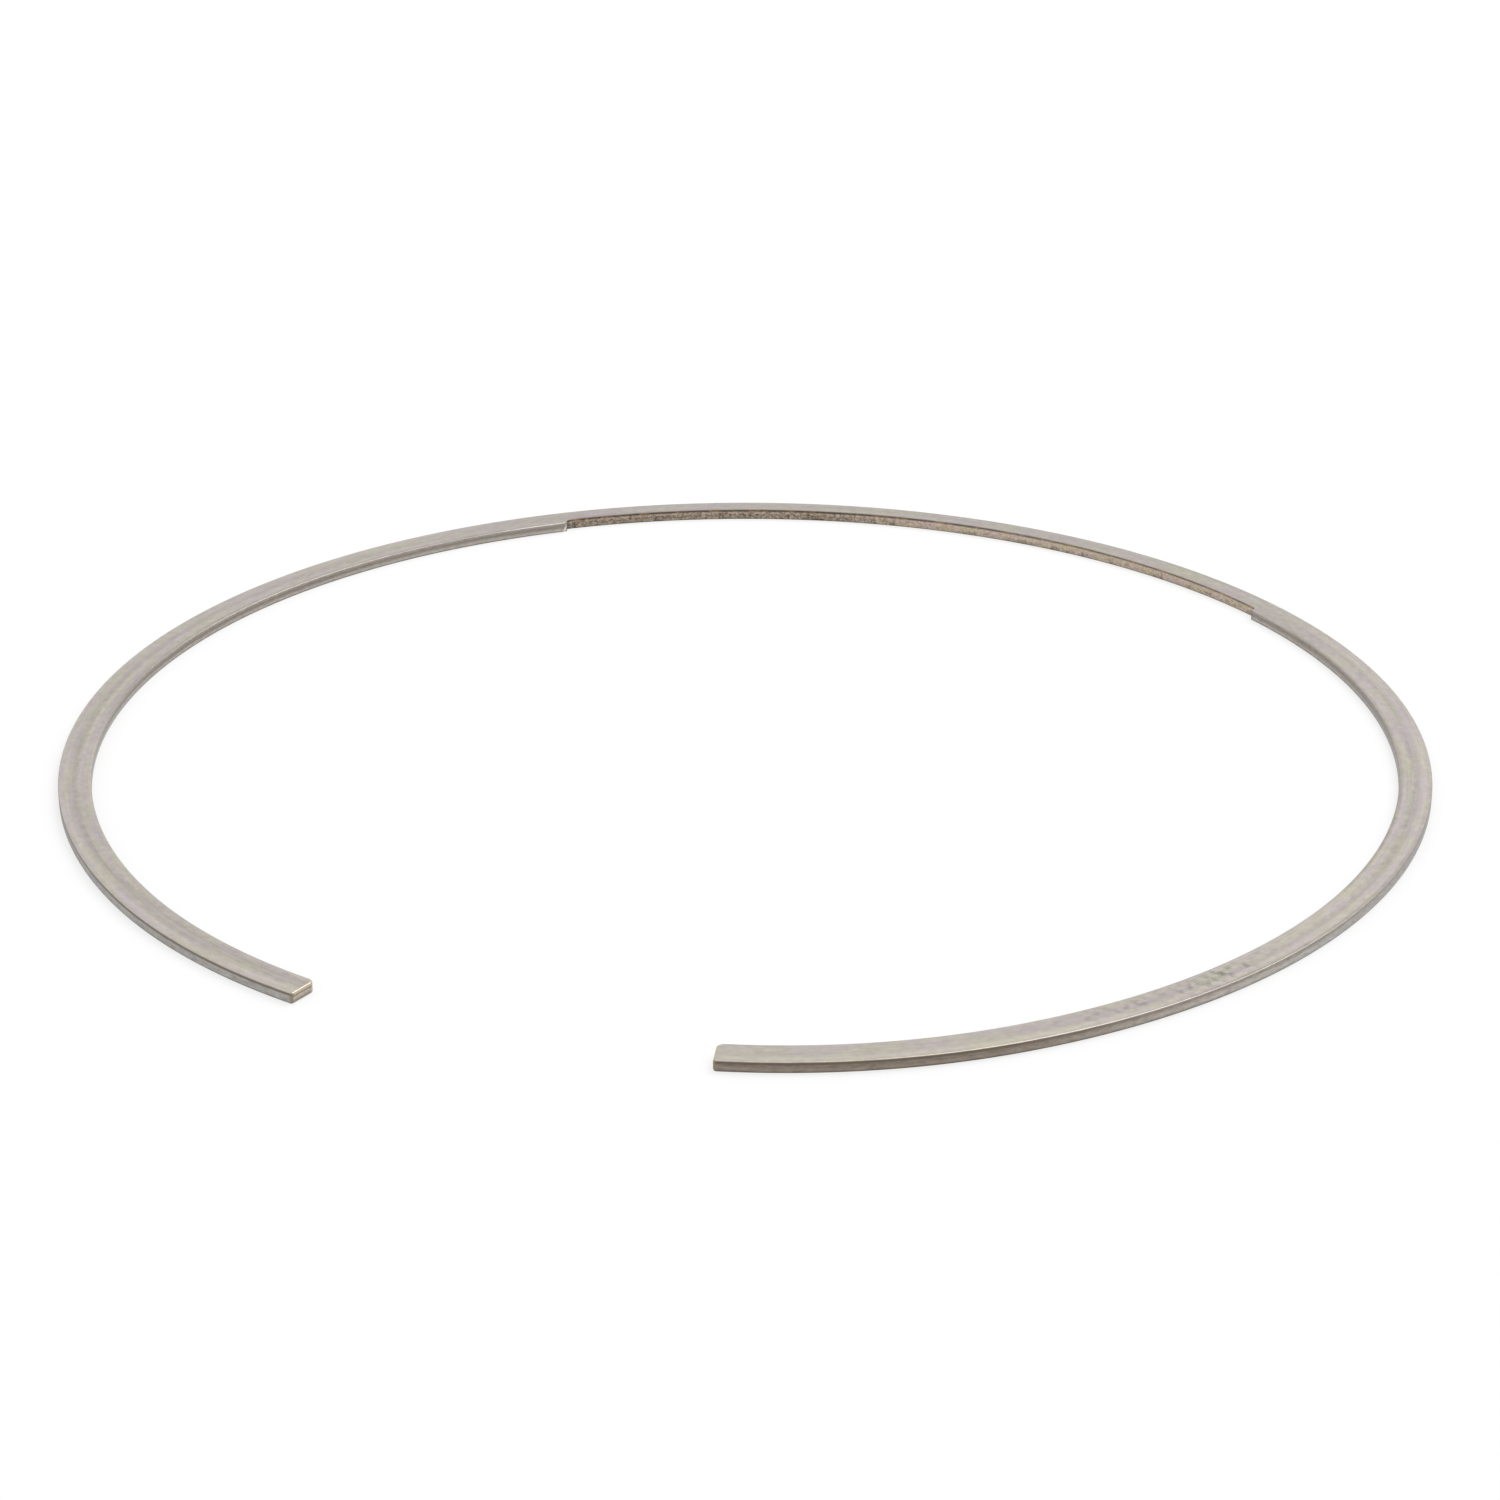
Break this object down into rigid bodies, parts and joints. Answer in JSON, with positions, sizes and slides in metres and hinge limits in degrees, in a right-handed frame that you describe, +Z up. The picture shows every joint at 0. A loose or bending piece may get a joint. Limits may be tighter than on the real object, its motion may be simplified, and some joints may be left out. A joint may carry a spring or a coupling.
{
  "type": "snap ring",
  "caption": "Large split ring of flat spring-steel wire, with square sheared ends, a wide gap and a relieved stretch of inner edge opposite the gap.",
  "frame": {"origin": "on the ring's axis, in the plane of its underside", "axes": "+Z up along the ring's axis; the gap faces -Y and the relieved inner edge +Y"},
  "size_m": [0.2, 0.1951, 0.0016],
  "materials": {
    "spring_steel": "satin, with darker rolled and sheared edges"
  },
  "bodies": {
    "root": {"snap_ring": "spring_steel"}
  },
  "joints": []
}
